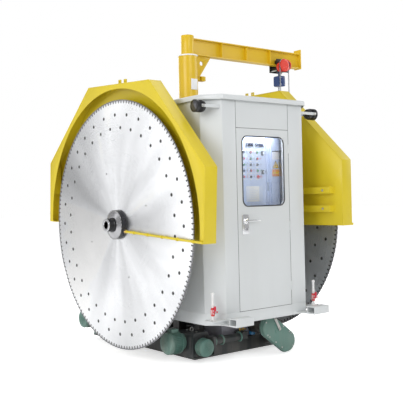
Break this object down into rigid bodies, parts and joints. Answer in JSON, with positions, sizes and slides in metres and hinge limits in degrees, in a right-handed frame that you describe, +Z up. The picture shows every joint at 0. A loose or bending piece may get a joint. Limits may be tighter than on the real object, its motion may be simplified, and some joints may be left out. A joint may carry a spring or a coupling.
{
  "type": "quarry stone saw",
  "caption": "Rail-mounted stone saw with two large lifting blades under yellow guards, a control cabin with a door, travel drives and a slewing jib hoist.",
  "frame": {"origin": "on the rail plane under the wheel flanges, midway between the four wheels and under the blade spindle", "axes": "+X along the blade spindle to the right-hand blade, +Y along the rails away from the cabin door, +Z up"},
  "size_m": [3.355, 3.4424, 4.045],
  "materials": {
    "cabin_paint": "semi-gloss off-white enamel on sheet steel",
    "guard_yellow": "gloss yellow enamel",
    "jib_yellow": "gloss orange-yellow enamel",
    "blade_steel": "radially ground bright steel",
    "machined_steel": "turned, lightly oiled",
    "black_paint": "satin black enamel",
    "motor_green": "gloss grey-green enamel",
    "chassis_grey": "grey primer, scuffed",
    "glass": "clear float glass",
    "chrome": "polished",
    "panel_blue": "satin pale blue-grey enamel",
    "button_plastic": "moulded plastic caps, red, green and black",
    "stop_red": "moulded red plastic",
    "trolley_red": "gloss red enamel",
    "hoist_blue": "gloss blue enamel",
    "filter_blue": "gloss blue enamel",
    "valve_red": "dipped red vinyl",
    "pipe_white": "white plastic pipe",
    "belt_rubber": "moulded rubber",
    "chain_steel": "dull zinc plate"
  },
  "bodies": {
    "root": {"trolley_frame": "chassis_grey", "support_legs": "black_paint", "floor_frame": "cabin_paint", "left_side_wall": "cabin_paint", "right_side_wall": "cabin_paint", "rear_wall": "cabin_paint", "front_left_panel": "cabin_paint", "front_right_panel": "cabin_paint", "front_header": "cabin_paint", "roof_cap": "cabin_paint", "top_frame": "black_paint", "guide_columns": "machined_steel", "lift_barrels": "black_paint", "control_cabinet": "panel_blue", "instrument_panel": "panel_blue", "push_buttons": "button_plastic", "jib_mast": "jib_yellow", "hydraulic_tank": "chassis_grey", "return_filter": "filter_blue", "travel_gearbox": "chassis_grey", "rapid_travel_motor": "motor_green", "feed_motor": "motor_green", "cross_tube": "chassis_grey", "chain_case": "motor_green", "chain_case_motor": "black_paint", "corner_brackets": "cabin_paint", "water_standpipes": "pipe_white", "rear_gearmotor": "motor_green"},
    "carriage": {"carriage_frame": "chassis_grey", "lift_rods": "chrome", "spindle_housing": "black_paint", "main_motor": "motor_green", "left_guard": "guard_yellow", "right_guard": "guard_yellow", "water_feed_pipes": "guard_yellow", "drive_belt": "belt_rubber"},
    "spindle": {"spindle_shaft": "machined_steel", "left_blade": "blade_steel", "right_blade": "blade_steel", "blade_flanges": "black_paint", "spindle_nuts": "black_paint", "spindle_pulley": "machined_steel"},
    "motor_rotor": {"motor_pulley": "machined_steel"},
    "door": {"door_panel": "cabin_paint", "door_glass": "glass", "handle_plate": "chrome"},
    "lever": {"door_lever": "chrome"},
    "jib": {"jib_arm": "jib_yellow"},
    "hoist": {"hoist_trolley": "trolley_red", "hoist_body": "hoist_blue", "hand_chain": "chain_steel", "load_chain": "chain_steel"},
    "hook": {"hook_block": "hoist_blue"},
    "front_wheels": {"front_wheelset": "machined_steel"},
    "rear_wheels": {"rear_wheelset": "machined_steel"},
    "left_valve": {"left_valve_lever": "valve_red"},
    "right_valve": {"right_valve_lever": "valve_red"},
    "left_lamp_head": {"left_lamp": "black_paint"},
    "right_lamp_head": {"right_lamp": "black_paint"},
    "stop_cap": {"stop_button": "stop_red"}
  },
  "joints": [
    {"name": "carriage_lift", "type": "slide", "parent": "root", "child": "carriage", "axis": [0, 0, 1], "range_m": [-0.74, 0.08]},
    {"name": "spindle_spin", "type": "hinge", "parent": "carriage", "child": "spindle", "pos_m": [0, 0, 1.6], "axis": [1, 0, 0], "continuous": true},
    {"name": "motor_spin", "type": "hinge", "parent": "carriage", "child": "motor_rotor", "pos_m": [0, 0, 2.05], "axis": [1, 0, 0], "continuous": true},
    {"name": "door_swing", "type": "hinge", "parent": "root", "child": "door", "pos_m": [0.391, -1.402, 1.64], "axis": [0, 0, 1], "range_deg": [0, 110]},
    {"name": "lever_press", "type": "hinge", "parent": "door", "child": "lever", "pos_m": [-0.32, -1.42, 1.625], "axis": [0, 1, 0], "range_deg": [0, 45], "stiffness_Nm_per_rad": 2.5, "springref_deg": -34.38},
    {"name": "jib_slew", "type": "hinge", "parent": "root", "child": "jib", "pos_m": [0, 0, 3.8], "axis": [0, 0, 1], "range_deg": [-180, 180]},
    {"name": "trolley_travel", "type": "slide", "parent": "jib", "child": "hoist", "axis": [1, 0, 0], "range_m": [-0.35, 0.2]},
    {"name": "hook_lift", "type": "slide", "parent": "hoist", "child": "hook", "axis": [0, 0, 1], "range_m": [-1.2, 0.2], "deforming": ["load_chain"]},
    {"name": "front_wheel_spin", "type": "hinge", "parent": "root", "child": "front_wheels", "pos_m": [0, -0.45, 0.125], "axis": [1, 0, 0], "continuous": true},
    {"name": "rear_wheel_spin", "type": "hinge", "parent": "root", "child": "rear_wheels", "pos_m": [0, 0.45, 0.125], "axis": [1, 0, 0], "continuous": true},
    {"name": "left_valve_turn", "type": "hinge", "parent": "root", "child": "left_valve", "pos_m": [-0.8, -1.4, 0.65], "axis": [0, -1, 0], "range_deg": [0, 90]},
    {"name": "right_valve_turn", "type": "hinge", "parent": "root", "child": "right_valve", "pos_m": [0.8, -1.4, 0.65], "axis": [0, 1, 0], "range_deg": [0, 90]},
    {"name": "left_lamp_tilt", "type": "hinge", "parent": "root", "child": "left_lamp_head", "pos_m": [-0.88, -1.31, 2.9], "axis": [0, 1, 0], "range_deg": [-30, 30]},
    {"name": "right_lamp_tilt", "type": "hinge", "parent": "root", "child": "right_lamp_head", "pos_m": [0.88, -1.31, 2.9], "axis": [0, 1, 0], "range_deg": [-30, 30]},
    {"name": "stop_press", "type": "slide", "parent": "root", "child": "stop_cap", "axis": [0, 1, 0], "range_m": [0, 0.006], "stiffness_N_per_m": 300, "springref_m": -0.003}
  ],
  "couplings": [
    {"joint": "motor_spin", "follows": "spindle_spin", "ratio": 1.4545}
  ]
}
